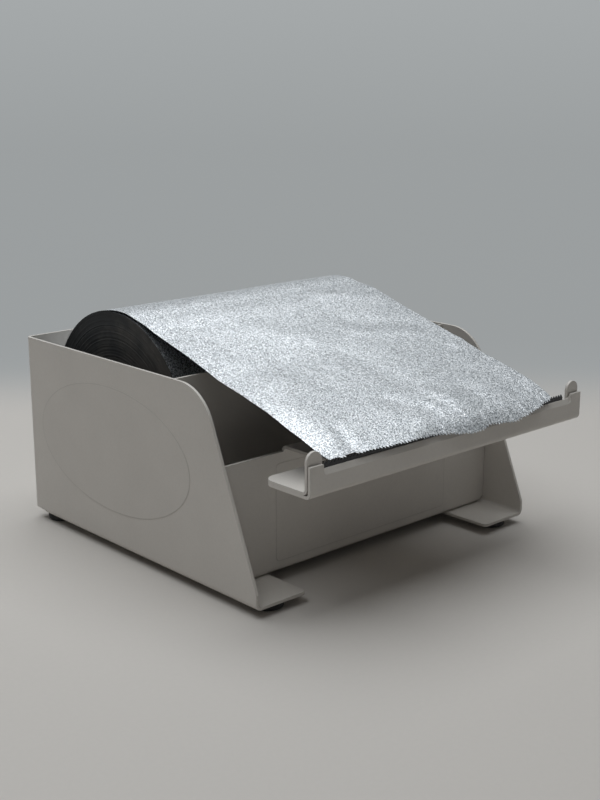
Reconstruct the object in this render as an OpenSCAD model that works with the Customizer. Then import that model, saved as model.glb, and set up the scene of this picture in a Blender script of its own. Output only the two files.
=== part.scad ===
// Roll of hair foil in its folded steel dispenser, with the sheet drawn over the cutter.
// X runs across, Y runs to the back, Z is up. The feet stand on Z = 0.

/* [Foil roll] */
// Width of the foil
foil_w = 127; // [100:1:152]
// Diameter of the wound roll
roll_d = 95; // [88:1:104]
// Outer diameter of the cardboard core
core_d = 38; // [30:1:45]
// Wall of the cardboard core
core_wall = 2; // [1.5:0.5:4]
// Distance between the turn edges that show on the roll's ends
turn_step = 1.8; // [1.2:0.1:3]
// How far every other turn stands out on the roll's ends
turn_relief = 0.3; // [0.1:0.05:0.5]
// Thickness of the drawn sheet
foil_t = 0.4; // [0.3:0.1:0.8]
// How far the drawn sheet bows up between the roll and the cutter
sheet_bow = 2.2; // [0.5:0.1:3]
// Distance from the sheet's left edge to the flap that hangs over the cutter
flap_left = 46; // [30:1:50]
// Distance from the flap to the sheet's right edge
flap_right = 5; // [5:1:30]
// How far the flap hangs below the blade's tips
flap_drop = 6; // [4:0.1:8]
// How far the rest of the torn edge lies below the blade's tips
edge_drop = 1.2; // [0.8:0.1:2]
// Inside radius of the sheet's bend over the cutter
edge_bend_r = 3.2; // [2.6:0.1:3.6]

/* [Sheet metal] */
// Thickness of the steel sheet
sheet_t = 1.2; // [0.9:0.1:1.5]
// Inside radius of every fold
bend_r = 1.2; // [0.8:0.1:1.6]
// Gap between sheets that fit into each other
fit_gap = 0.2; // [0.1:0.05:0.3]

/* [Housing] */
// Free space between the left side panel and the roll
left_play = 10; // [9:0.5:16]
// Free space between the right side panel and the roll
right_play = 18.6; // [9:0.2:24]
// Spare length of the roll bay over the roll's diameter
bay_play = 8.2; // [4:0.2:20]
// How far the roll stands above the side panels
roll_rise = 17; // [15:0.5:26]
// Distance of the front panel behind the side panels' front corner
front_inset = 21.7; // [15:0.1:28]
// Length of the pocket between the front panel and the divider
pocket_l = 27.7; // [20:0.1:34]
// How far the divider's top edge lies below the side panels
divider_drop = 0.5; // [0:0.5:8]
// Height of the upright nose at the side panels' front edge
nose_h = 6.6; // [4:0.1:12]
// Lean of the side panels' front edge from upright, in degrees
rake = 22.3; // [16:0.1:28]
// Radius where the raked front edge meets the top edge
brow_r = 20; // [10:1:26]
// Width of the flanges folded in under the side panels
flange_w = 25.4; // [20:0.1:34]
// Radius of the flanges' front corners
flange_corner_r = 2; // [1:0.5:5]
// Length of the notch where each flange's fold stops short of the back
relief_l = 8; // [5:0.5:14]
// Height of the back panel's lower edge above the flanges' underside
relief_h = 1.8; // [1:0.1:2.2]

/* [Cutter] */
// Height of the tongue's top face above the flanges' underside
tongue_h = 53.2; // [46:0.1:58]
// Width of the tongue that carries the cutter
tongue_w = 91.2; // [60:0.2:110]
// How far the cutter's front face stands ahead of the side panels
cutter_reach = 28.4; // [22:0.1:34]
// Depth of the cutter's shelf from front face to back edge
shelf_l = 25.2; // [18:0.1:27]
// How far each end of the cutter lies inside the housing's width
end_inset = 0.7; // [0.5:0.1:3]
// Radius of the shelf's back corners
shelf_corner_r = 5; // [2:0.5:9]
// Height of the cover plate at its raised ends
cover_h = 12; // [10:0.1:15]
// Length of each raised end of the cover plate
cover_end_l = 6.5; // [5:0.1:8]
// Drop from the raised ends to the cover plate's long edge
recess_drop = 1.8; // [1:0.1:3]
// Radius at the ends of the bevel and of the recess
recess_r = 1.8; // [0.8:0.1:1.9]
// Height of the bevel along the cover plate's long edge
bevel_h = 2.2; // [1:0.1:3]
// Thickness left at the top of the bevel
bevel_land = 0.3; // [0.2:0.05:0.6]
// Height of the lip behind the blade
lip_h = 8; // [6:0.1:8.5]
// Width of the round ears that keep the sheet on the cutter
ear_w = 7.2; // [5:0.1:8]
// Height of the ears above the tongue's top face
ear_h = 14.5; // [12:0.1:20]

/* [Blade] */
// Distance from the cutter's left end to the blade
blade_left = 8; // [5:0.5:12]
// Distance from the blade to the cutter's right end
blade_right = 11; // [5:0.5:14]
// Thickness of the blade
blade_t = 0.5; // [0.3:0.1:0.8]
// Distance from tooth to tooth
tooth_pitch = 1.6; // [1:0.1:3]
// Height of the teeth
tooth_h = 1.3; // [0.8:0.1:1.8]
// How far the tips stand above the cover plate's long edge
tooth_rise = 2.3; // [2:0.1:4]

/* [Feet] */
// Height of the rubber feet
foot_h = 3.5; // [2:0.5:8]
// Diameter of the rubber feet
foot_d = 12.6; // [9:0.2:14]
// Radius of the feet's lower edge
foot_edge_r = 1; // [0.5:0.1:1.5]
// Distance of the front feet's centres from the sides
front_foot_side = 12.5; // [8.5:0.5:14]
// Distance of the front feet's centres from the front
front_foot_in = 8; // [7.5:0.5:20]
// Distance of the rear feet's centres from the sides
rear_foot_side = 8.5; // [8:0.5:14]
// Distance of the rear feet's centres from the back
rear_foot_in = 9.5; // [9:0.5:24]

/* [Hidden] */
$fn = 96;

// How far a cutting shape runs past what it cuts
over = 1;

// Outside radius of every fold
fold_r = bend_r + sheet_t;

// Housing, worked out from the roll that it holds
housing_w = foil_w + left_play + right_play + 2 * sheet_t;
divider_y = front_inset + pocket_l;
housing_l = divider_y + roll_d + bay_play + 2 * sheet_t;
floor_top = 2 * sheet_t;
floor_end_y = housing_l - sheet_t - fit_gap;
roll_r = roll_d / 2;
roll_x = -housing_w / 2 + sheet_t + left_play;
roll_y = divider_y + sheet_t + (roll_d + bay_play) / 2;
roll_z = floor_top + fit_gap + roll_r;
side_h = roll_z + roll_r - roll_rise;
divider_h = side_h - divider_drop;

// Width between the side panels, and between the folds along their lower edges
upright_w = housing_w - 2 * sheet_t - 2 * fit_gap;
floor_w = housing_w - 2 * fold_r - 2 * fit_gap;

// Cutter levels and faces
cutter_w = housing_w - 2 * end_inset;
shelf_z = tongue_h - sheet_t;
cover_z = shelf_z - sheet_t;
cover_y = -cutter_reach;
blade_y = cover_y + sheet_t;
lip_y = blade_y + blade_t;
shelf_y = cover_y + shelf_l;
recess_w = cutter_w - 2 * cover_end_l;
recess_z = cover_z + cover_h - recess_drop;
tip_z = recess_z + tooth_rise;

// Drawn sheet: tangent to the roll's top, resting on the blade's tips
sheet_gap = 0.15;
sheet_proud = 0.15;
sheet_r = roll_r + sheet_proud - foil_t;
tip_y = blade_y + blade_t / 2;
tip_run = roll_y - tip_y;
tip_fall = roll_z - tip_z - sheet_gap;
tip_reach = sqrt(tip_run * tip_run + tip_fall * tip_fall);
tangent_turn = asin(sheet_r / tip_reach);
slope = tangent_turn + atan2(tip_fall, tip_run);
sheet_run = tip_reach * cos(tangent_turn);

// The whole object is centred on its own length and stands on its feet
front_y = tip_y - edge_bend_r * (1 - sin(slope)) - foil_t;
centre_y = (front_y + housing_l) / 2;

// A flat shape in Y and Z, made w wide along X about the middle
module across(w) {
  rotate([90, 0, 90])
    linear_extrude(w, center = true)
      children();
}

// A flat shape in X and Z, made long from y0 to y1
module along(y0, y1) {
  translate([0, y1, 0])
    rotate([90, 0, 0])
      linear_extrude(y1 - y0)
        children();
}

// A rectangle from one corner to the other
module box2(x0, y0, x1, y1) {
  translate([x0, y0])
    square([x1 - x0, y1 - y0]);
}

// A square block with one round corner at the origin
module round_block(size, r) {
  box2(r, 0, size, size);
  box2(0, r, size, size);
  translate([r, r])
    circle(r);
}

// Section of a fold with its outside corner at the origin and a short straight leg along each axis
module fold() {
  leg = fold_r + over;
  intersection() {
    square(leg);
    difference() {
      round_block(leg, fold_r);
      translate([sheet_t, sheet_t])
        round_block(leg, bend_r);
    }
  }
}

// Moves a piece from the housing's frame to the object's frame
module placed() {
  translate([0, -centre_y, foot_h])
    children();
}

// Outline of a side panel in Y and Z, with the notch at its lower rear corner
module side_outline() {
  brow_y = (side_h - nose_h) * tan(rake);
  brow_leg = brow_r * tan((90 - rake) / 2);
  polygon([
    [0, fold_r],
    [0, nose_h],
    [brow_y - brow_leg * sin(rake), side_h - brow_leg * cos(rake)],
    [brow_y + brow_leg, side_h],
    [housing_l + over, side_h],
    [housing_l + over, relief_h],
    [housing_l - relief_l, relief_h],
    [housing_l - relief_l, fold_r]
  ]);
  translate([brow_y + brow_leg, side_h - brow_r])
    circle(brow_r);
}

// Plan of a block with two round rear corners, from the front to y = l
module block_plan(half_w, l, r) {
  box2(-half_w, -over, half_w, l - r);
  box2(-half_w + r, -over, half_w - r, l);
  for (s = [-1, 1])
    translate([s * (half_w - r), l - r])
      circle(r);
}

// Plan of the side and back panels, folded at the two rear corners
module wall_plan() {
  difference() {
    block_plan(housing_w / 2, housing_l, fold_r);
    block_plan(housing_w / 2 - sheet_t, housing_l - sheet_t, bend_r);
  }
}

// The flange folded in under the left side panel
module side_flange() {
  side_x = -housing_w / 2;
  inner_x = side_x + flange_w;
  along(0, housing_l - relief_l)
    translate([side_x, 0])
      fold();
  linear_extrude(sheet_t) {
    box2(side_x + fold_r, 0, inner_x - flange_corner_r, floor_end_y);
    box2(side_x + fold_r, flange_corner_r, inner_x, floor_end_y);
    translate([inner_x - flange_corner_r, flange_corner_r])
      circle(flange_corner_r);
  }
}

// Side panels, back panel and side flanges, folded from one sheet
module side_and_back_shell() {
  color("whitesmoke")
    placed() {
      intersection() {
        linear_extrude(side_h)
          wall_plan();
        across(housing_w + 2 * over)
          side_outline();
      }
      side_flange();
      mirror([1, 0, 0])
        side_flange();
    }
}

// A floor that starts with the fold below an upright's front face at y0 and ends at y1
module floor_and_fold(y0, y1) {
  across(floor_w) {
    box2(y0 + fold_r, sheet_t, y1, floor_top);
    translate([y0, sheet_t])
      fold();
  }
}

// Floor of the roll bay and the divider at its front, folded from one sheet
module roll_tray() {
  color("gainsboro")
    placed() {
      floor_and_fold(divider_y, floor_end_y);
      across(upright_w)
        box2(divider_y, sheet_t + fold_r, divider_y + sheet_t, divider_h);
    }
}

// Pocket floor, front panel, tongue and the cutter's shelf and lip, folded from one sheet
module front_panel() {
  panel_back_y = front_inset + sheet_t;
  color("whitesmoke")
    placed() {
      floor_and_fold(front_inset, divider_y - fit_gap);
      across(upright_w)
        box2(front_inset, sheet_t + fold_r, panel_back_y, tongue_h - fold_r);
      across(tongue_w) {
        translate([panel_back_y, tongue_h])
          rotate(180)
            fold();
        box2(shelf_y - over, shelf_z, panel_back_y - fold_r, tongue_h);
      }
      translate([0, 0, shelf_z])
        linear_extrude(sheet_t)
          shelf_plan(lip_y + fold_r);
      across(cutter_w)
        translate([lip_y, shelf_z])
          fold();
      along(lip_y, lip_y + sheet_t)
        lip_outline();
    }
}

// Plan of a cutter shelf from y0 back to its round rear corners
module shelf_plan(y0) {
  half_w = cutter_w / 2;
  box2(-half_w, y0, half_w, shelf_y - shelf_corner_r);
  box2(-half_w + shelf_corner_r, y0, half_w - shelf_corner_r, shelf_y);
  for (s = [-1, 1])
    translate([s * (half_w - shelf_corner_r), shelf_y - shelf_corner_r])
      circle(shelf_corner_r);
}

// The lip behind the blade, with a round ear at each end
module lip_outline() {
  half_w = cutter_w / 2;
  lip_z = shelf_z + lip_h;
  ear_r = ear_w / 2;
  ear_z = tongue_h + ear_h - ear_r;
  box2(-half_w, shelf_z + fold_r, half_w, lip_z);
  for (s = [-1, 1])
    translate([s * (half_w - ear_r), 0]) {
      box2(-ear_r, lip_z - over, ear_r, ear_z);
      translate([0, ear_z])
        circle(ear_r);
    }
}

// The cover plate's front face, recessed between its raised ends
module cover_outline() {
  half_w = cutter_w / 2;
  top_z = cover_z + cover_h;
  difference() {
    box2(-half_w, cover_z + fold_r, half_w, top_z);
    recess_outline(recess_z, top_z + over);
  }
}

// A long notch between the raised ends, with round lower corners
module recess_outline(z0, z1) {
  half_w = recess_w / 2;
  box2(-half_w, z0 + recess_r, half_w, z1);
  box2(-half_w + recess_r, z0, half_w - recess_r, z1);
  for (s = [-1, 1])
    translate([s * (half_w - recess_r), z0 + recess_r])
      circle(recess_r);
}

// What the bevel along the cover plate's long edge takes away
module bevel_cut() {
  lean = atan2(sheet_t - bevel_land, bevel_h);
  translate([0, cover_y, recess_z - bevel_h])
    rotate([-lean, 0, 0])
      along(-sheet_t, 0)
        recess_outline(0, bevel_h + recess_drop);
}

// Cover plate in front of the blade, folded back under the shelf
module cutter_cover() {
  color("whitesmoke")
    placed() {
      translate([0, 0, cover_z])
        linear_extrude(sheet_t)
          shelf_plan(cover_y + fold_r);
      across(cutter_w)
        translate([cover_y, cover_z])
          fold();
      difference() {
        along(cover_y, blade_y)
          cover_outline();
        bevel_cut();
      }
    }
}

// Points of a saw edge from x0 to x1, going up and down between low and high
function saw(x0, x1, low, high) =
  let (n = round((x1 - x0) / tooth_pitch))
  [for (i = [0 : 2 * n]) [x0 + (x1 - x0) * i / (2 * n), i % 2 == 0 ? low : high]];

// Serrated blade clamped between the lip and the cover plate
module cutter_blade() {
  x0 = -cutter_w / 2 + blade_left;
  x1 = cutter_w / 2 - blade_right;
  foot_z = shelf_z + fold_r + fit_gap;
  color([0.08, 0.08, 0.09])
    placed()
      along(blade_y, lip_y)
        polygon(concat(saw(x0, x1, tip_z - tooth_h, tip_z), [[x1, foot_z], [x0, foot_z]]));
}

// Half section of the wound foil, with the turns' edges standing in and out at both ends
module turns_section() {
  bore_r = core_d / 2 + fit_gap / 2;
  n = floor((roll_r - bore_r) / turn_step);
  step = (roll_r - bore_r) / n;
  near = [for (i = [0 : n - 1], k = [0, 1]) [bore_r + (i + k) * step, i % 2 * turn_relief]];
  far = [for (i = [len(near) - 1 : -1 : 0]) [near[i].x, foil_w - near[i].y]];
  polygon(concat(near, far));
}

// Points in Y and Z of one face of the drawn sheet, out by t from its underside, from the roll
// over the blade's tips to the lower end
function sheet_face(t) =
  let (
    n = 16,
    along = [cos(slope), sin(slope)],
    up = [-sin(slope), cos(slope)],
    rest = [tip_y, tip_z + sheet_gap],
    centre = rest - edge_bend_r * up,
    r = edge_bend_r + t,
    line = [for (i = [n : -1 : 0])
      rest + along * sheet_run * i / n + up * (sheet_bow * sin(180 * i / n) + t)],
    bend = [for (i = [1 : n])
      centre + r * [cos(90 + slope + (90 - slope) * i / n), sin(90 + slope + (90 - slope) * i / n)]]
  )
  concat(line, bend, [[centre.x - r, tip_z - flap_drop - over]]);

// Section of the drawn sheet, bowed up from roll to blade and bent down over the cutter
module sheet_section() {
  upper = sheet_face(foil_t);
  polygon(concat(sheet_face(0), [for (i = [len(upper) - 1 : -1 : 0]) upper[i]]));
}

// Front view of the drawn sheet, with a torn lower edge that copies the teeth and hangs in a flap
module sheet_outline() {
  flap_w = foil_w - flap_left - flap_right;
  n = 2 * round(foil_w / tooth_pitch);
  drops = [
    [flap_left, edge_drop],
    [flap_left + flap_w / 3, flap_drop],
    [foil_w - flap_right - flap_w / 4, flap_drop * 5 / 6],
    [foil_w - flap_right, edge_drop]
  ];
  torn = [for (i = [0 : n])
    [foil_w * i / n, tip_z - lookup(foil_w * i / n, drops) + i % 2 * tooth_h / 2]];
  top = roll_z + roll_r + over;
  translate([roll_x, 0])
    polygon(concat(torn, [[foil_w, top], [0, top]]));
}

// The sheet drawn from the roll's top over the blade
module drawn_sheet() {
  intersection() {
    across(housing_w)
      sheet_section();
    along(front_y - over, roll_y)
      sheet_outline();
  }
}

// The wound turns and the sheet drawn from the top of the roll
module foil_roll() {
  color([0.80, 0.83, 0.86])
    placed() {
      translate([roll_x, roll_y, roll_z])
        rotate([90, 0, 90])
          rotate_extrude()
            turns_section();
      drawn_sheet();
    }
}

// Cardboard tube that the foil is wound on
module core_tube() {
  color([0.66, 0.55, 0.41])
    placed()
      translate([roll_x, roll_y, roll_z])
        rotate([0, 90, 0])
          difference() {
            cylinder(h = foil_w, r = core_d / 2);
            translate([0, 0, -over])
              cylinder(h = foil_w + 2 * over, r = core_d / 2 - core_wall);
          }
}

// Round rubber foot under a flange, with its centre at x, y
module foot(x, y) {
  r = foot_d / 2;
  color([0.09, 0.09, 0.09])
    placed()
      translate([x, y, -foot_h])
        rotate_extrude() {
          box2(0, 0, r - foot_edge_r, foot_h);
          box2(0, foot_edge_r, r, foot_h);
          intersection() {
            translate([r - foot_edge_r, foot_edge_r])
              circle(foot_edge_r);
            box2(0, 0, r, foot_h);
          }
        }
}

// A front foot, left for s = -1 and right for s = 1
module front_foot(s) {
  foot(s * (housing_w / 2 - front_foot_side), front_foot_in);
}

// A rear foot, left for s = -1 and right for s = 1
module rear_foot(s) {
  foot(s * (housing_w / 2 - rear_foot_side), housing_l - rear_foot_in);
}

side_and_back_shell();
roll_tray();
front_panel();
cutter_cover();
cutter_blade();
foil_roll();
core_tube();
front_foot(-1);  // foot_front_left
front_foot(1);  // foot_front_right
rear_foot(-1);  // foot_rear_left
rear_foot(1);  // foot_rear_right
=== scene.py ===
"""Looks of a hair foil roll in its folded steel dispenser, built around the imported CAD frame."""

import math

import bmesh
import bpy
from mathutils import Euler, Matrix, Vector, noise


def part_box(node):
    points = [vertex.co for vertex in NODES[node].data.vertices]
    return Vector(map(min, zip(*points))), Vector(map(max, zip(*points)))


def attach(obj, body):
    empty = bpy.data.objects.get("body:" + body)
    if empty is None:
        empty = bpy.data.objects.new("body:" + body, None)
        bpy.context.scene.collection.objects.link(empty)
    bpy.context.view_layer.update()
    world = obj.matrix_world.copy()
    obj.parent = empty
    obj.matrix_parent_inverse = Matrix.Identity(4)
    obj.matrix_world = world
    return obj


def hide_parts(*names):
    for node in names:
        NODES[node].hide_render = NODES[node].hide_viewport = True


bl_info = {
    "name": "Hair foil dispenser",
    "version": (1, 0, 0),
    "blender": (4, 5, 0),
    "location": "3D View > Sidebar > Hair foil",
    "description": "Builds the wound and drawn foil, the labels, the finishes and the stage",
    "category": "Add Mesh",
}

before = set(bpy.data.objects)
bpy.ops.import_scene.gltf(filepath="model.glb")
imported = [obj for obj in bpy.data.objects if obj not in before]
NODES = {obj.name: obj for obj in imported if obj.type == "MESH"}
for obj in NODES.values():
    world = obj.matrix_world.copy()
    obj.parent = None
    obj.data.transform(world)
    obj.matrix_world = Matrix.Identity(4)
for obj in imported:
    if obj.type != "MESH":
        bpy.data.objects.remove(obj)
BODY = "root"
MM = 0.001

WHITE_STEEL = ("side_and_back_shell", "roll_tray", "front_panel", "cutter_cover")
RUBBER_FEET = ("foot_front_left", "foot_front_right", "foot_rear_left", "foot_rear_right")


# Helpers for every piece


def smooth(t):
    """0 below 0, 1 above 1 and an even ease between."""
    t = min(1.0, max(0.0, t))
    return t * t * (3 - 2 * t)


def follow(points, at):
    """Value of an eased line through (place, value) pairs."""
    if at <= points[0][0]:
        return points[0][1]
    for (a, low), (b, high) in zip(points, points[1:]):
        if at <= b:
            return low + (high - low) * smooth((at - a) / (b - a))
    return points[-1][1]


def sharpen(bm, angle):
    """Keeps the shading crisp over edges that turn by more than an angle."""
    for edge in bm.edges:
        edge.smooth = edge.calc_face_angle(0) < angle


def finished(name, bm, materials, replaced=()):
    """Turns a bmesh into a piece on the body, with its materials and replaced nodes."""
    mesh = bpy.data.meshes.new(name)
    bm.to_mesh(mesh)
    bm.free()
    piece = bpy.data.objects.new(name, mesh)
    bpy.context.scene.collection.objects.link(piece)
    for material in materials:
        mesh.materials.append(material)
    if replaced:
        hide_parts(*replaced)
    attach(piece, BODY)
    return piece


def paint(nodes, material):
    """Gives CAD nodes a material in every slot they have."""
    for name in nodes:
        slots = NODES[name].data.materials
        if not len(slots):
            slots.append(material)
        for i in range(len(slots)):
            slots[i] = material


# Material building


def new_material(name):
    """An empty node material with a Principled shader, and that shader."""
    material = bpy.data.materials.new(name)
    material.use_nodes = True
    tree = material.node_tree
    tree.nodes.clear()
    shader = tree.nodes.new("ShaderNodeBsdfPrincipled")
    output = tree.nodes.new("ShaderNodeOutputMaterial")
    tree.links.new(shader.outputs[0], output.inputs["Surface"])
    return material, shader


def add(shader, kind, inputs, **options):
    """Adds a node beside the shader, with options set and inputs set or linked."""
    tree = shader.id_data
    made = tree.nodes.new(kind)
    for key, value in options.items():
        setattr(made, key, value)
    wire(made, inputs)
    return made


def wire(made, inputs):
    """Sets or links a node's inputs, given by name or number."""
    for key, value in inputs.items():
        if isinstance(value, bpy.types.NodeSocket):
            made.id_data.links.new(value, made.inputs[key])
        else:
            made.inputs[key].default_value = value


def object_place(shader, scale=(1, 1, 1)):
    """Object coordinates, stretched per axis."""
    coords = add(shader, "ShaderNodeTexCoord", {})
    inputs = {"Vector": coords.outputs["Object"], "Scale": scale}
    return add(shader, "ShaderNodeMapping", inputs).outputs[0]


def noise_of(shader, place, size, detail=2.0, roughness=0.5):
    """Soft noise with lumps of about that size in metres."""
    made = add(
        shader,
        "ShaderNodeTexNoise",
        {"Vector": place, "Scale": 1 / size, "Detail": detail, "Roughness": roughness},
    )
    return made.outputs["Fac"]


def ramp_of(shader, value, stops):
    """Colours along a 0 to 1 value, as (place, grey or colour) pairs."""
    made = add(shader, "ShaderNodeValToRGB", {"Fac": value})
    marks = made.color_ramp.elements
    while len(marks) < len(stops):
        marks.new(1.0)
    for mark, (place, colour) in zip(marks, stops):
        if not hasattr(colour, "__len__"):
            colour = (colour,) * 3
        mark.position = place
        mark.color = (*colour[:3], 1.0)
    return made.outputs["Color"]


def maths(shader, operation, a, b=0.0):
    """Arithmetic on two values."""
    return add(shader, "ShaderNodeMath", {0: a, 1: b}, operation=operation).outputs[0]


def tint_of(shader, mix, low, high, blend="MIX"):
    """A mix of two colours."""
    inputs = {0: mix, 6: low, 7: high}
    return add(shader, "ShaderNodeMix", inputs, data_type="RGBA", blend_type=blend).outputs[2]


def bump_of(shader, height, depth, strength=1.0, normal=None):
    """A bump of that depth in metres."""
    inputs = {"Height": height, "Distance": depth, "Strength": strength}
    if normal is not None:
        inputs["Normal"] = normal
    return add(shader, "ShaderNodeBump", inputs).outputs[0]


def seen_rays(shader):
    """1 for rays that show a surface directly or as a reflection, 0 for rays that light others."""
    path = add(shader, "ShaderNodeLightPath", {})
    seen = maths(shader, "MAXIMUM", path.outputs["Is Camera Ray"], path.outputs["Is Glossy Ray"])
    return maths(shader, "MAXIMUM", seen, path.outputs["Is Transmission Ray"])


# Settings that a user would change


class FoilSettings(bpy.types.PropertyGroup):
    """Sizes and colours of the foil."""

    thickness: bpy.props.FloatProperty(
        name="Sheet thickness",
        description="Thickness that the drawn sheet shows",
        default=0.06 * MM,
        min=0.02 * MM,
        max=0.4 * MM,
        unit="LENGTH",
    )
    pebble: bpy.props.FloatProperty(
        name="Pebble size",
        description="Distance from one embossed pebble to the next",
        default=0.6 * MM,
        min=0.4 * MM,
        max=2 * MM,
        unit="LENGTH",
    )
    colour: bpy.props.FloatVectorProperty(
        name="Foil colour",
        description="Colour that the foil reflects",
        default=(0.585, 0.615, 0.65),
        subtype="COLOR",
        min=0,
        max=1,
    )
    # The turns' edges are made near black partly as painted shade on the roll's shadowed end
    edge_colour: bpy.props.FloatVectorProperty(
        name="Turn edge colour",
        description="Colour of the wound turns' edges on the roll's ends",
        default=(0.045, 0.045, 0.046),
        subtype="COLOR",
        min=0,
        max=1,
    )


class HousingSettings(bpy.types.PropertyGroup):
    """Colours of the dispenser."""

    paint: bpy.props.FloatVectorProperty(
        name="Steel paint",
        description="Colour of the powder coat on the folded steel",
        default=(0.63, 0.60, 0.56),
        subtype="COLOR",
        min=0,
        max=1,
    )
    blade: bpy.props.FloatVectorProperty(
        name="Blade colour",
        description="Colour of the serrated blade",
        default=(0.018, 0.018, 0.02),
        subtype="COLOR",
        min=0,
        max=1,
    )
    rubber: bpy.props.FloatVectorProperty(
        name="Foot colour",
        description="Colour of the rubber feet",
        default=(0.02, 0.02, 0.02),
        subtype="COLOR",
        min=0,
        max=1,
    )
    cardboard: bpy.props.FloatVectorProperty(
        name="Core colour",
        description="Colour of the cardboard core",
        default=(0.42, 0.30, 0.19),
        subtype="COLOR",
        min=0,
        max=1,
    )


class StageSettings(bpy.types.PropertyGroup):
    """Colours and lights of the stage."""

    floor: bpy.props.FloatVectorProperty(
        name="Floor colour",
        description="Colour of the floor",
        default=(0.59, 0.562, 0.53),
        subtype="COLOR",
        min=0,
        max=1,
    )
    backdrop: bpy.props.FloatVectorProperty(
        name="Backdrop colour",
        description="Colour of the far end of the floor and of the backdrop",
        default=(0.325, 0.342, 0.347),
        subtype="COLOR",
        min=0,
        max=1,
    )
    top_light: bpy.props.FloatProperty(
        name="Top light",
        description="Power of the soft light overhead",
        default=15.4,
        min=0,
        unit="POWER",
    )
    ambient: bpy.props.FloatProperty(
        name="Ambient light",
        description="Strength of the even light from all round",
        default=0.076,
        min=0,
    )


# Finishes of the CAD nodes


def powder_coat(name, colour):
    """Satin white powder coat with a fine orange peel and softened sheet edges."""
    material, shader = new_material(name)
    place = object_place(shader)
    mottle = noise_of(shader, place, 24 * MM, 3)
    speck = noise_of(shader, place, 1.1 * MM, 2)
    darker = tuple(c * 0.955 for c in colour)
    cloud = ramp_of(shader, mottle, [(0.3, darker), (0.7, colour)])
    fleck = ramp_of(shader, speck, [(0.2, 0.965), (0.6, 1.0)])
    gloss = ramp_of(shader, noise_of(shader, place, 9 * MM, 2), [(0.3, 0.40), (0.7, 0.50)])
    rounded = add(shader, "ShaderNodeBevel", {"Radius": 0.28 * MM}, samples=6)
    peel = bump_of(shader, noise_of(shader, place, 0.8 * MM, 1), 0.012 * MM, 1, rounded.outputs[0])
    wire(
        shader,
        {
            "Base Color": tint_of(shader, 1.0, cloud, fleck, "MULTIPLY"),
            "Roughness": gloss,
            "Normal": peel,
            "IOR": 1.48,
        },
    )
    return material


def blade_black(colour):
    """Black coated spring steel with a scratched grain along the blade."""
    material, shader = new_material("blade_black")
    grain = noise_of(shader, object_place(shader, (0.08, 1, 1)), 0.35 * MM, 3)
    light = tuple(min(1, c * 2.2) for c in colour)
    wire(
        shader,
        {
            "Base Color": ramp_of(shader, grain, [(0.35, tuple(colour)), (0.75, light)]),
            "Roughness": ramp_of(shader, grain, [(0.3, 0.34), (0.7, 0.5)]),
            "Normal": bump_of(shader, grain, 0.01 * MM),
            "Metallic": 0.3,
        },
    )
    return material


def foot_rubber(colour):
    """Matte moulded rubber with a fine grain and a little dust."""
    material, shader = new_material("foot_rubber")
    place = object_place(shader)
    grain = noise_of(shader, place, 0.5 * MM, 3)
    dust = noise_of(shader, place, 3 * MM, 3)
    dusty = tuple(c * 2.6 for c in colour)
    wire(
        shader,
        {
            "Base Color": ramp_of(shader, dust, [(0.45, tuple(colour)), (0.8, dusty)]),
            "Roughness": ramp_of(shader, grain, [(0.3, 0.7), (0.7, 0.9)]),
            "Normal": bump_of(shader, grain, 0.03 * MM),
        },
    )
    return material


def core_cardboard(colour, centre):
    """Wound cardboard: fibres along the tube's turns and a spiral seam."""
    material, shader = new_material("core_cardboard")
    coords = add(shader, "ShaderNodeTexCoord", {})
    centred = add(
        shader,
        "ShaderNodeMapping",
        {"Vector": coords.outputs["Object"], "Location": tuple(-c for c in centre)},
    )
    parts = add(shader, "ShaderNodeSeparateXYZ", {"Vector": centred.outputs[0]})
    turn = maths(shader, "ARCTAN2", parts.outputs["Z"], parts.outputs["Y"])
    share = maths(shader, "DIVIDE", turn, math.tau)
    pitch = maths(shader, "DIVIDE", parts.outputs["X"], 52 * MM)
    wound = maths(shader, "FRACT", maths(shader, "ADD", share, pitch))
    seam = ramp_of(shader, wound, [(0.0, 0.25), (0.012, 1.0), (0.97, 1.0), (1.0, 0.55)])
    fibre = noise_of(shader, centred.outputs[0], 0.7 * MM, 5, 0.7)
    pale = tuple(min(1, c * 1.25) for c in colour)
    pulp = ramp_of(shader, fibre, [(0.3, tuple(c * 0.8 for c in colour)), (0.7, pale)])
    wire(
        shader,
        {
            "Base Color": tint_of(shader, 1.0, pulp, seam, "MULTIPLY"),
            "Roughness": ramp_of(shader, fibre, [(0.3, 0.8), (0.7, 0.95)]),
            "Normal": bump_of(shader, tint_of(shader, 0.5, pulp, seam), 0.08 * MM),
        },
    )
    return material


# Finishes of the foil

# Size of the facets with painted glints and painted shade, and of the fine grain, as shares of a
# pebble
FACET_SHARE = 0.52
GRAIN_SHARE = 0.5
# Painted shade of the facets taken to face away from the light, and colour of the painted glints on
# the brightest ones
FACET_PAINTED_SHADE = 0.16
FACET_PAINTED_GLINT = (0.97, 0.98, 1.0)
PEBBLE_DEPTH = 0.085 * MM


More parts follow.
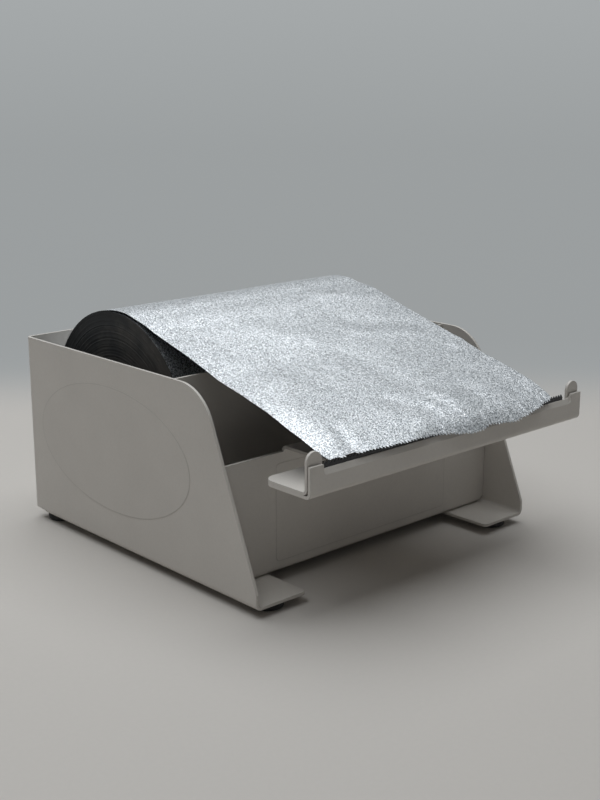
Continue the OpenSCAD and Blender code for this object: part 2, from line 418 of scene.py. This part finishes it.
def embossed_foil(settings):
    """Bright foil embossed with small irregular pebbles that sparkle, partly by painted glints and
    painted shade in the facets' colour.
    """
    material, shader = new_material("embossed_foil")
    place = object_place(shader)
    size = settings.pebble
    cells = {"Vector": place, "Scale": 1 / size}
    pebbles = add(shader, "ShaderNodeTexVoronoi", cells, feature="SMOOTH_F1").outputs["Distance"]
    cells = {"Vector": place, "Scale": 1 / (FACET_SHARE * size)}
    facets = add(shader, "ShaderNodeTexVoronoi", cells).outputs["Color"]
    shades = add(shader, "ShaderNodeSeparateColor", {"Color": facets})
    fine = noise_of(shader, place, GRAIN_SHARE * size, 2)
    height = maths(shader, "ADD", pebbles, maths(shader, "MULTIPLY", fine, 0.5))
    colour = tuple(settings.colour)
    painted_dull_facet = tuple(c * FACET_PAINTED_SHADE for c in colour)
    painted_glints = [(0.0, painted_dull_facet), (0.5, colour), (0.78, FACET_PAINTED_GLINT)]
    wire(
        shader,
        {
            # Painted glints and painted shade: each facet's colour is picked at random from dark to
            # near white
            "Base Color": ramp_of(shader, shades.outputs["Red"], painted_glints),
            "Roughness": ramp_of(shader, shades.outputs["Green"], [(0.0, 0.30), (1.0, 0.46)]),
            "Normal": bump_of(shader, height, PEBBLE_DEPTH),
            "Metallic": 1.0,
        },
    )
    return material


# Painted shade on the shadow side and painted light on the lit side of the turns' edges, as shares
# of their colour
EDGE_PAINTED_SHADE = (0.42, 0.45, 0.47)
EDGE_PAINTED_LIGHT = (2.1, 1.92, 1.7)
# Distance over which the painted shade changes to the painted light of the lit side, towards the
# lower front
EDGE_FADE = 130 * MM


def turn_edges(settings, centre):
    """Edges of the wound turns: dark fine rings about the roll's axis, with painted shade above and
    painted light at the lower front.
    """
    material, shader = new_material("turn_edges")
    coords = add(shader, "ShaderNodeTexCoord", {})
    centred = add(
        shader,
        "ShaderNodeMapping",
        {
            "Vector": coords.outputs["Object"],
            "Location": tuple(-c for c in centre),
            "Scale": (0, 1, 1),
        },
    )
    across = add(shader, "ShaderNodeVectorMath", {0: centred.outputs[0]}, operation="LENGTH")
    radius = across.outputs["Value"]
    line = add(shader, "ShaderNodeCombineXYZ", {"X": radius})
    rings = noise_of(shader, line.outputs[0], 0.22 * MM, 4, 0.75)
    bands = noise_of(shader, line.outputs[0], 3.2 * MM, 2)
    # Painted light and shade: the tone runs from a painted shade above to a painted light at the
    # lower front, along an uneven border
    painted_light_wobble = noise_of(shader, centred.outputs[0], 7 * MM, 3)
    darker, lighter = (tuple(c * tone for c in settings.edge_colour) for tone in (0.75, 1.35))
    ring_tone = ramp_of(shader, rings, [(0.25, darker), (0.75, lighter)])
    band_tone = ramp_of(shader, bands, [(0.3, 0.85), (0.7, 1.1)])
    sides = add(shader, "ShaderNodeSeparateXYZ", {"Vector": centred.outputs[0]})
    lean = maths(shader, "ADD", sides.outputs["Y"], sides.outputs["Z"])
    painted_light_mask = maths(shader, "ADD", maths(shader, "DIVIDE", lean, -EDGE_FADE), painted_light_wobble)
    painted_light_tone = ramp_of(shader, painted_light_mask, [(0.1, EDGE_PAINTED_SHADE), (0.75, EDGE_PAINTED_LIGHT)])
    tone = tint_of(shader, 1.0, ring_tone, band_tone, "MULTIPLY")
    wire(
        shader,
        {
            "Base Color": tint_of(shader, 1.0, tone, painted_light_tone, "MULTIPLY"),
            "Roughness": ramp_of(shader, rings, [(0.3, 0.58), (0.7, 0.74)]),
            "Normal": bump_of(shader, rings, 0.02 * MM),
            "Metallic": 0.3,
        },
    )
    return material


# Sizes of the foil

# Height of the drawn sheet over the blade's tips
SHEET_GAP = 0.2 * MM
# Width that the tables of the sheet are written for, in mm
SHEET_WIDTH = 127

# Lift of the sheet over its straight line at its left and right edge: mm from the blade, mm up
LEFT_LIFT = (
    (0, 0.05), (5, 0.2), (12, 1.0), (17, 1.3), (24, 1.3), (33, 1.2), (47, 1.0),
    (64, 0.4), (75, 0.9), (84, 1.2), (104, 1.1), (113, 1.5), (121, 1.2), (145, 0.1),
)
RIGHT_LIFT = ((0, 2.9), (20, 2.9), (70, 3.4), (86, 3.4), (107, 3.8), (121, 2.4), (145, 0.3))

# Height of the torn edge over the floor: mm from the left edge, mm up
TORN_LEVEL = (
    (0, 66.8), (16, 67.0), (34, 66.9), (44, 66.7), (50, 66.4), (54, 66.0), (61, 65.3),
    (67, 64.4), (74, 63.4), (80, 63.1), (82, 63.5), (85, 64.6), (91, 64.1), (99, 63.2),
    (104, 63.8), (110, 64.8), (116, 65.5), (123, 66.5), (127, 67.6),
)

# Bent end: mm from the left edge, then its start behind the blade and its length in mm,
# the power that its slope grows by and its last slope in degrees
END_SHAPES = (
    (0, (0.0, 3.0, 1.0, 38)),
    (40, (0.0, 3.0, 1.0, 40)),
    (56, (9.0, 13.0, 1.5, 60)),
    (70, (16.0, 20.0, 1.9, 78)),
    (94, (17.0, 21.0, 1.9, 76)),
    (108, (20.0, 24.0, 1.7, 55)),
    (118, (22.0, 26.0, 1.6, 40)),
    (127, (22.0, 26.0, 1.5, 36)),
)

# Soft creases: start and end as (mm from the left edge, mm from the blade),
# then height and half width in mm
CREASES = (
    ((-4, 12), (-4, 20), -1.35, 10.0),
    ((86, 74), (112, 64), 0.30, 3.4),
    ((90, 84), (118, 72), -0.40, 5.5),
    ((66, 62), (70, 34), -0.35, 9.0),
    ((40, 96), (62, 78), 0.3, 8.0),
    ((52, 22), (62, 11), -0.35, 5.5),
    ((74, 22), (82, 12), 0.35, 3.6),
    ((92, 18), (100, 10), -0.35, 4.5),
    ((17, 14), (14, 4), -0.35, 3.4),
    ((104, 34), (116, 20), -0.3, 7.0),
    ((24, 52), (12, 34), 0.25, 8.0),
    ((96, 110), (122, 98), 0.35, 5.0),
    ((127, 38), (121, 34), -0.4, 3.0),
    ((127, 52), (120, 49), 0.4, 3.2),
)
# Distance from a crease past which it lifts nothing, in half widths
CREASE_REACH = 3

# Crumple of the sheet: lump across and along in mm, seed and height in mm
CRUMPLE = ((34, 46, 3.7, 0.42), (11, 15, 9.1, 0.07), (3.1, 3.7, 5.3, 0.02))
# Where the crumple starts before the blade and how it grows there, in mm
CRUMPLE_START = -2
CRUMPLE_GROWTH = 16
# Where the crumple has ended on the roll and how it fades before that, in mm
CRUMPLE_STOP = 170
CRUMPLE_FADE = 50
# Ripple of the bent end and raggedness of the torn edge, in mm
END_RIPPLE = 0.2
RAGGED_EDGE = 0.35

# Slope of the sheet where its end starts to bend, and step of the bent end's path in mm
SLOPE_REST = math.radians(15.4)
PATH_STEP = 0.25
PATH_LIMIT = 120
# The bent end is laid flatter by this step, in degrees, until it clears the blade's tips
SLOPE_STEP = 2
SLOPE_LEAST = 20

TEETH = 80
TOOTH_DEPTH = 1.0 * MM
# Rows of the strip's mesh over its end, its drawn part and its turn about the roll
EDGE_ROWS = 26
DRAWN_ROWS = 170
WOUND_ROWS = 70
# Where the first rows end, and how far the fine rows go on past the roll's tangent, in mm
EDGE_START = 13.0
FINE_PAST_TOP = 44.0
WOUND_TURN = math.radians(357)
# How much nearer to the axis the strip comes over one turn
TURN_LOSS = 0.12 * MM
SHEET_RIM_ANGLE = math.radians(50)

# Gap between the turns and the core, and between the turns and the outer strip
CORE_GAP = 0.1 * MM
TURN_GAP = 0.05 * MM
# Bands of the roll's ends, how unevenly they stand and the band at the rim that stands flush
TURN_BANDS = 64
TURN_WOBBLE = 0.16 * MM
RIM_BAND = 2.2 * MM
SPIN_STEPS = 144


# The foil's places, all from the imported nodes


class Roll:
    """Where the roll's axis, its surface and the drawn sheet's line are."""

    def __init__(self):
        core_lo, core_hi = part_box("core_tube")
        roll_lo, roll_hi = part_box("foil_roll")
        blade_lo, blade_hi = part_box("cutter_blade")
        self.y = (core_lo.y + core_hi.y) / 2
        self.z = (core_lo.z + core_hi.z) / 2
        self.core_r = (core_hi.z - core_lo.z) / 2
        self.r = roll_hi.y - self.y
        self.x0 = roll_lo.x
        self.x1 = roll_hi.x
        self.width = self.x1 - self.x0
        self.tip_y = (blade_lo.y + blade_hi.y) / 2
        self.tip_z = blade_hi.z + SHEET_GAP
        run = self.y - self.tip_y
        fall = self.z - self.tip_z
        reach = math.hypot(run, fall)
        turn = math.asin(self.r / reach)
        self.slope = turn + math.atan2(fall, run)
        self.line = reach * math.cos(turn)

    def centre(self):
        """The middle of the axis."""
        return Vector(((self.x0 + self.x1) / 2, self.y, self.z))


def crease_lift(across, along):
    """Sum of the creases' heights at a place on the sheet, all in mm."""
    total = 0.0
    here = Vector((across, along))
    for start, end, height, half in CREASES:
        a, b = Vector(start), Vector(end)
        line = b - a
        share = min(1.0, max(0.0, (here - a).dot(line) / line.length_squared))
        away = (here - a - line * share).length / half
        if away < CREASE_REACH:
            total += height * math.exp(-away * away)
    return total


def sheet_lift(across, along):
    """Height of the sheet over its straight line, in mm."""
    side = smooth(across / SHEET_WIDTH)
    lift = (1 - side) * follow(LEFT_LIFT, along) + side * follow(RIGHT_LIFT, along)
    free = smooth((along - CRUMPLE_START) / CRUMPLE_GROWTH)
    free *= smooth((CRUMPLE_STOP - along) / CRUMPLE_FADE)
    crumple = 0.0
    for wide, long, seed, height in CRUMPLE:
        crumple += height * noise.noise(Vector((across / wide, along / long, seed)))
    return lift + free * crumple + crease_lift(across, along)


def end_path(shape, start, level):
    """Places (distance, run, fall, slope) down the strip's bent end, to the torn edge's level."""
    _, bend, power, steep = shape
    path = [(0.0, 0.0, 0.0, SLOPE_REST)]
    while path[-1][2] < start - level and len(path) < PATH_LIMIT:
        q, run, fall, _ = path[-1]
        angle = SLOPE_REST + (math.radians(steep) - SLOPE_REST) * min(1.0, q / bend) ** power
        run += math.cos(angle) * PATH_STEP
        fall += math.sin(angle) * PATH_STEP
        path.append((q + PATH_STEP, run, fall, angle))
    return path


class StripEnd:
    """The bent end of the strip at one place across its width."""

    def __init__(self, roll, across):
        self.u = across * roll.width / MM
        shape = follow([(place, Vector(values)) for place, values in END_SHAPES], self.u)
        self.begin = shape[0]
        lift = sheet_lift(self.u, self.begin)
        slope = roll.slope
        self.y = roll.tip_y / MM + self.begin * math.cos(slope) - lift * math.sin(slope)
        self.z = roll.tip_z / MM + self.begin * math.sin(slope) + lift * math.cos(slope)
        tooth = 1 if round(across * 2 * TEETH) % 2 else 0
        ragged = RAGGED_EDGE * noise.noise(Vector((self.u / 5.0, 1.3, 0.4)))
        level = follow(TORN_LEVEL, self.u) + ragged
        self.path = end_path(shape, self.z, level)
        while self.height_at(roll.tip_y / MM) < roll.tip_z / MM and shape[3] > SLOPE_LEAST:
            shape[3] -= SLOPE_STEP
            self.path = end_path(shape, self.z, level)
        self.length = self.path[-1][0] + tooth * TOOTH_DEPTH / MM

    def height_at(self, y):
        """Height where the bent end passes over a place along Y."""
        passed = [fall for _, run, fall, _ in self.path if self.y - run >= y]
        return self.z - passed[-1] if passed else self.z

    def place(self, q):
        """Place at a distance past the bend's start, and the slope there, in mm."""
        i = min(int(q / PATH_STEP), len(self.path) - 2)
        (q0, run0, fall0, _), (_, run1, fall1, angle) = self.path[i], self.path[i + 1]
        share = (q - q0) / PATH_STEP
        y = self.y - run0 - (run1 - run0) * share
        z = self.z - fall0 - (fall1 - fall0) * share
        return y, z, angle


def strip_place(roll, end, row):
    """A point of the strip, from the torn edge over the blade and once round the roll."""
    line = roll.line / MM
    top = line + FINE_PAST_TOP
    last = line + roll.r / MM * WOUND_TURN
    first = end.begin - end.length
    if row <= EDGE_ROWS:
        d = first + (EDGE_START - first) * row / EDGE_ROWS
    elif row <= EDGE_ROWS + DRAWN_ROWS:
        d = EDGE_START + (top - EDGE_START) * (row - EDGE_ROWS) / DRAWN_ROWS
    else:
        d = top + (last - top) * (row - EDGE_ROWS - DRAWN_ROWS) / WOUND_ROWS
    x = roll.x0 + end.u * MM
    if d < end.begin:
        y, z, angle = end.place(end.begin - d)
        free = END_RIPPLE * smooth((end.begin - d) / 3)
        wave = free * noise.noise(Vector((end.u / 6.0, d / 5.0, 1.9)))
        y -= wave * math.sin(angle)
        z += wave * math.cos(angle)
        return Vector((x, y * MM, z * MM))
    lift = sheet_lift(end.u, d) * MM
    slope = roll.slope
    if d > line:
        turned = (d - line) * MM / roll.r
        far = roll.r - TURN_LOSS * turned / math.tau + lift
        angle = slope - turned
        return Vector((x, roll.y - math.sin(angle) * far, roll.z + math.cos(angle) * far))
    y = roll.tip_y + d * MM * math.cos(slope) - lift * math.sin(slope)
    z = roll.tip_z + d * MM * math.sin(slope) + lift * math.cos(slope)
    return Vector((x, y, z))


def build_drawn_foil(roll, material, thickness):
    """The outer strip: torn edge, drawn sheet and one whole turn about the roll."""
    rows = EDGE_ROWS + DRAWN_ROWS + WOUND_ROWS
    bm = bmesh.new()
    bmesh.ops.create_grid(bm, x_segments=2 * TEETH, y_segments=rows, size=1)
    ends = [StripEnd(roll, column / (2 * TEETH)) for column in range(2 * TEETH + 1)]
    for vert in bm.verts:
        column = round((vert.co.x + 1) * TEETH)
        row = round((vert.co.y + 1) / 2 * rows)
        vert.co = strip_place(roll, ends[column], row)
    bmesh.ops.solidify(bm, geom=bm.faces[:], thickness=thickness)
    bmesh.ops.recalc_face_normals(bm, faces=bm.faces)
    for face in bm.faces:
        face.smooth = True
    sharpen(bm, SHEET_RIM_ANGLE)
    return finished("drawn_foil", bm, [material], ("foil_roll",))


def build_wound_foil(roll, materials):
    """The turns under the outer strip, spun from a half section with uneven turn edges."""
    bm = bmesh.new()
    inner = roll.core_r + CORE_GAP
    outer = roll.r - TURN_LOSS - TURN_GAP
    left, right = [], []
    for i in range(TURN_BANDS + 1):
        radius = inner + (outer - inner) * i / TURN_BANDS
        flush = smooth((outer - radius) / RIM_BAND)
        for side, ends in ((0, left), (1, right)):
            wobble = TURN_WOBBLE * (1 + noise.noise(Vector((i * 0.83, side * 4.1, 0.2))))
            ends.append((radius, wobble * flush))
    section = [(roll.x0 + w, r) for r, w in left] + [(roll.x1 - w, r) for r, w in reversed(right)]
    verts = [bm.verts.new((x, roll.y, roll.z + r)) for x, r in section]
    edges = [bm.edges.new(pair) for pair in zip(verts, verts[1:] + verts[:1])]
    bmesh.ops.spin(
        bm,
        geom=verts + edges,
        cent=roll.centre(),
        axis=(1, 0, 0),
        angle=math.tau,
        steps=SPIN_STEPS,
        use_merge=True,
    )
    bmesh.ops.remove_doubles(bm, verts=bm.verts, dist=0.001 * MM)
    bmesh.ops.recalc_face_normals(bm, faces=bm.faces)
    for face in bm.faces:
        face.material_index = 1 if abs(face.normal.x) > 0.5 else 0
        face.smooth = face.material_index == 0
    sharpen(bm, SHEET_RIM_ANGLE)
    return finished("wound_foil", bm, materials, ("foil_roll",))


# Label films: thickness, half sizes, middles, corner and a darker rim painted as shade along the
# edge
FILM = 0.1 * MM
OVAL_LABEL = (27 * MM, 53 * MM)
OVAL_PLACE = (-79 * MM, 29 * MM, 46 * MM)
PANEL_LABEL = (50 * MM, 20.5 * MM)
PANEL_PLACE = (0.0, -40.945 * MM, 29.5 * MM)
LABEL_CORNER = 2 * MM
LABEL_RIM = 0.35 * MM
# Tones of the film and of its rim, darker as painted shade along the film's edge, as shares of the
# paint
FILM_TONE = 0.985
RIM_PAINTED_SHADE_TONE = 0.86


def build_label(name, bm, half_size, turn, place, materials):
    """A thin film from a flat outline of half size 1, laid on a face of the steel."""
    bmesh.ops.scale(bm, verts=bm.verts, vec=(*half_size, 1))
    if len(bm.verts) == 4:
        bmesh.ops.bevel(
            bm,
            geom=bm.verts[:],
            offset=LABEL_CORNER,
            segments=8,
            profile=0.5,
            affect="VERTICES",
            material=-1,
        )
    grown = bmesh.ops.extrude_face_region(bm, geom=bm.faces[:])["geom"]
    top = [v for v in grown if isinstance(v, bmesh.types.BMVert)]
    bmesh.ops.translate(bm, verts=top, vec=(0, 0, FILM))
    rim = [e for e in bm.edges if all(v in top for v in e.verts)]
    bmesh.ops.bevel(
        bm, geom=rim, offset=0.4 * FILM, segments=2, profile=0.5, affect="EDGES", material=-1
    )
    face = max(bm.faces, key=lambda f: f.calc_area() * f.normal.z)
    rim_faces = bmesh.ops.inset_region(bm, faces=[face], thickness=LABEL_RIM)["faces"]
    for part in rim_faces:
        part.material_index = 1
    bmesh.ops.rotate(bm, verts=bm.verts, cent=(0, 0, 0), matrix=Euler(turn).to_matrix())
    bmesh.ops.translate(bm, verts=bm.verts, vec=place)
    bmesh.ops.recalc_face_normals(bm, faces=bm.faces)
    return finished(name, bm, materials)


# Operators


class HAIRFOIL_OT_finish_steel(bpy.types.Operator):
    """Paints the folded steel nodes"""

    bl_idname = "hairfoil.finish_steel"
    bl_label = "Finish the steel"

    def execute(self, context):
        colour = context.scene.housing_settings.paint
        paint(WHITE_STEEL, powder_coat("white_powder_coat", tuple(colour)))
        return {"FINISHED"}


class HAIRFOIL_OT_finish_small_parts(bpy.types.Operator):
    """Finishes the blade, the core and the feet"""

    bl_idname = "hairfoil.finish_small_parts"
    bl_label = "Finish the blade, core and feet"

    def execute(self, context):
        settings = context.scene.housing_settings
        paint(("cutter_blade",), blade_black(tuple(settings.blade)))
        paint(RUBBER_FEET, foot_rubber(tuple(settings.rubber)))
        paint(("core_tube",), core_cardboard(tuple(settings.cardboard), Roll().centre()))
        return {"FINISHED"}


class HAIRFOIL_OT_stick_labels(bpy.types.Operator):
    """Lays the two blank label films on the steel"""

    bl_idname = "hairfoil.stick_labels"
    bl_label = "Stick the blank labels"

    def execute(self, context):
        colour = tuple(context.scene.housing_settings.paint)
        film = [
            powder_coat("label_film", tuple(c * FILM_TONE for c in colour)),
            # The rim's darker tone is painted shade along the film's edge
            powder_coat("label_rim", tuple(c * RIM_PAINTED_SHADE_TONE for c in colour)),
        ]
        oval = bmesh.new()
        bmesh.ops.create_circle(oval, cap_ends=True, segments=128, radius=1)
        build_label("side_label", oval, OVAL_LABEL, (0, -math.pi / 2, 0), OVAL_PLACE, film)
        block = bmesh.new()
        bmesh.ops.create_grid(block, x_segments=1, y_segments=1, size=1)
        build_label("panel_label", block, PANEL_LABEL, (math.pi / 2, 0, 0), PANEL_PLACE, film)
        return {"FINISHED"}


class HAIRFOIL_OT_wind_foil(bpy.types.Operator):
    """Builds the wound turns and the drawn sheet"""

    bl_idname = "hairfoil.wind_foil"
    bl_label = "Wind and draw the foil"

    def execute(self, context):
        settings = context.scene.foil_settings
        roll = Roll()
        bright = embossed_foil(settings)
        build_wound_foil(roll, [bright, turn_edges(settings, roll.centre())])
        build_drawn_foil(roll, bright, settings.thickness)
        return {"FINISHED"}


class HAIRFOIL_OT_set_stage(bpy.types.Operator):
    """Builds the floor, the lights and the camera"""

    bl_idname = "hairfoil.set_stage"
    bl_label = "Set the stage"

    def execute(self, context):
        settings = context.scene.stage_settings
        build_sweep(tuple(settings.floor), tuple(settings.backdrop))
        set_lights(settings)
        set_camera()
        context.scene.view_settings.view_transform = "Standard"
        return {"FINISHED"}


# Stage

# Floor and backdrop along the camera's heading: near end, start of the curve, its radius,
# the top and the half width
SWEEP_FRONT = -2.2
SWEEP_BACK = 1.1
SWEEP_CURVE = 0.5
SWEEP_TOP = 2.4
SWEEP_HALF = 2.6
# Depth behind the object over which the floor changes to the glowing backdrop's colour
HORIZON_START = 0.16
HORIZON_END = 0.34
# The same change all round, for views from other sides: share of the distance and its start
ROUND_SHARE = 0.5
ROUND_START = 0.3
# Painted light up the glowing backdrop, brighter near its foot and towards its top, as (share of
# its height, share of its colour)
BACKDROP_PAINTED_LIGHT = ((0.0, 1.12), (0.04, 1.0), (0.2, 1.02), (0.6, 1.3), (1.0, 1.5))
BACKDROP_HEIGHT = 1.2
DEPTH_SHARE = 0.12

TOP_LIGHT_PLACE = (-0.08, 0.26, 1.15)
TOP_LIGHT_SIZE = (1.6, 1.42)
TOP_LIGHT_COLOUR = (0.95, 0.98, 1.0)
AMBIENT_TINT = (1.0, 0.99, 0.97)

CAMERA_PLACE = (-0.3675, -0.40065, 0.2031)
CAMERA_TURN = (75.14, 0.0, -42.57)
CAMERA_LENS = 58.08
CAMERA_SENSOR = 36.0


def build_sweep(colour, far_colour):
    """One curved sheet that is floor and backdrop, square to the camera, whose far part glows with
    painted light for rays that see it.
    """
    material, shader = new_material("stage_paper")
    place = object_place(shader)
    grain = noise_of(shader, place, 2 * MM, 2)
    coords = add(shader, "ShaderNodeTexCoord", {})
    heading = add(
        shader,
        "ShaderNodeVectorRotate",
        {"Vector": coords.outputs["Object"], "Angle": -math.radians(CAMERA_TURN[2])},
        rotation_type="Z_AXIS",
    )
    parts = add(shader, "ShaderNodeSeparateXYZ", {"Vector": heading.outputs[0]})
    depth = parts.outputs["Y"]
    away = add(shader, "ShaderNodeVectorMath", {0: heading.outputs[0]}, operation="LENGTH")
    round_about = maths(shader, "MULTIPLY", away.outputs["Value"], ROUND_SHARE)
    round_about = maths(shader, "SUBTRACT", round_about, ROUND_START)
    share = add(
        shader,
        "ShaderNodeMapRange",
        {
            "Value": maths(shader, "MAXIMUM", depth, round_about),
            "From Min": HORIZON_START,
            "From Max": HORIZON_END,
        },
        interpolation_type="SMOOTHERSTEP",
    ).outputs[0]
    mask = maths(shader, "MULTIPLY", share, seen_rays(shader))
    rise = maths(shader, "MULTIPLY", depth, DEPTH_SHARE)
    climb = maths(shader, "ADD", rise, parts.outputs["Z"])
    # The far floor and the backdrop glow, with painted light that grows towards the top, for rays
    # that see them directly or in reflections
    painted_light_tones = [(share_up, tuple(c * tone for c in far_colour)) for share_up, tone in BACKDROP_PAINTED_LIGHT]
    far = ramp_of(shader, maths(shader, "DIVIDE", climb, BACKDROP_HEIGHT), painted_light_tones)
    darker = tuple(c * 0.985 for c in colour)
    paper = ramp_of(shader, grain, [(0.3, darker), (0.7, colour)])
    wire(shader, {"Base Color": paper, "Roughness": 0.85})
    glow = add(shader, "ShaderNodeEmission", {"Color": far, "Strength": 1.0})
    mixed = add(shader, "ShaderNodeMixShader", {0: mask, 1: shader.outputs[0], 2: glow.outputs[0]})
    output = next(n for n in material.node_tree.nodes if n.type == "OUTPUT_MATERIAL")
    material.node_tree.links.new(mixed.outputs[0], output.inputs["Surface"])
    bm = bmesh.new()
    start = bm.verts.new((-SWEEP_HALF, SWEEP_FRONT, 0))
    grown = bmesh.ops.extrude_vert_indiv(bm, verts=[start])["verts"][0]
    grown.co.y = SWEEP_BACK
    bmesh.ops.spin(
        bm,
        geom=[grown],
        cent=(-SWEEP_HALF, SWEEP_BACK, SWEEP_CURVE),
        axis=(1, 0, 0),
        angle=math.radians(90),
        steps=24,
    )
    last = max(bm.verts, key=lambda v: v.co.z)
    top = bmesh.ops.extrude_vert_indiv(bm, verts=[last])["verts"][0]
    top.co.z = SWEEP_TOP
    wide = bmesh.ops.extrude_edge_only(bm, edges=list(bm.edges))["geom"]
    moved = [v for v in wide if isinstance(v, bmesh.types.BMVert)]
    bmesh.ops.translate(bm, verts=moved, vec=(2 * SWEEP_HALF, 0, 0))
    turn = Euler((0, 0, math.radians(CAMERA_TURN[2]))).to_matrix()
    bmesh.ops.rotate(bm, verts=bm.verts, cent=(0, 0, 0), matrix=turn)
    for face in bm.faces:
        face.smooth = True
    bmesh.ops.recalc_face_normals(bm, faces=bm.faces)
    mesh = bpy.data.meshes.new("stage_sweep")
    bm.to_mesh(mesh)
    bm.free()
    mesh.materials.append(material)
    sweep = bpy.data.objects.new("stage_sweep", mesh)
    bpy.context.scene.collection.objects.link(sweep)


def set_lights(settings):
    """A large soft light overhead, a weak even light all round and grey in reflections."""
    data = bpy.data.lights.new("top_light", "AREA")
    data.shape = "RECTANGLE"
    data.size, data.size_y = TOP_LIGHT_SIZE
    data.energy = settings.top_light
    data.color = TOP_LIGHT_COLOUR
    lamp = bpy.data.objects.new("top_light", data)
    lamp.location = TOP_LIGHT_PLACE
    bpy.context.scene.collection.objects.link(lamp)
    world = bpy.data.worlds.new("room")
    bpy.context.scene.world = world
    world.use_nodes = True
    background = world.node_tree.nodes["Background"]
    even = (*(settings.ambient * tint for tint in AMBIENT_TINT), 1.0)
    shown = (*settings.backdrop, 1.0)
    sky = tint_of(background, seen_rays(background), even, shown)
    wire(background, {"Color": sky, "Strength": 1.0})


def set_camera():
    """The camera where the photograph was taken from."""
    data = bpy.data.cameras.new("camera")
    data.lens = CAMERA_LENS
    data.sensor_width = CAMERA_SENSOR
    camera = bpy.data.objects.new("camera", data)
    camera.location = CAMERA_PLACE
    camera.rotation_euler = [math.radians(a) for a in CAMERA_TURN]
    bpy.context.scene.collection.objects.link(camera)
    bpy.context.scene.camera = camera


class HAIRFOIL_PT_panel(bpy.types.Panel):
    """Lists the settings and the steps"""

    bl_idname = "HAIRFOIL_PT_panel"
    bl_label = "Hair foil dispenser"
    bl_space_type = "VIEW_3D"
    bl_region_type = "UI"
    bl_category = "Hair foil"

    def draw(self, context):
        scene = context.scene
        for group in (scene.foil_settings, scene.housing_settings, scene.stage_settings):
            box = self.layout.box()
            for key in group.__annotations__:
                box.prop(group, key)
        for step in STEPS:
            self.layout.operator(step.bl_idname)


STEPS = (
    HAIRFOIL_OT_finish_steel,
    HAIRFOIL_OT_finish_small_parts,
    HAIRFOIL_OT_stick_labels,
    HAIRFOIL_OT_wind_foil,
    HAIRFOIL_OT_set_stage,
)
CLASSES = (FoilSettings, HousingSettings, StageSettings, *STEPS, HAIRFOIL_PT_panel)


def register():
    for cls in CLASSES:
        bpy.utils.register_class(cls)
    bpy.types.Scene.foil_settings = bpy.props.PointerProperty(type=FoilSettings)
    bpy.types.Scene.housing_settings = bpy.props.PointerProperty(type=HousingSettings)
    bpy.types.Scene.stage_settings = bpy.props.PointerProperty(type=StageSettings)


def unregister():
    del bpy.types.Scene.foil_settings
    del bpy.types.Scene.housing_settings
    del bpy.types.Scene.stage_settings
    for cls in reversed(CLASSES):
        bpy.utils.unregister_class(cls)


def main():
    """Builds every piece around the frame."""
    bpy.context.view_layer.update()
    register()
    bpy.ops.hairfoil.finish_steel()
    bpy.ops.hairfoil.finish_small_parts()
    bpy.ops.hairfoil.stick_labels()
    bpy.ops.hairfoil.wind_foil()
    bpy.ops.hairfoil.set_stage()
    bpy.context.view_layer.update()


if __name__ == "__main__":
    main()
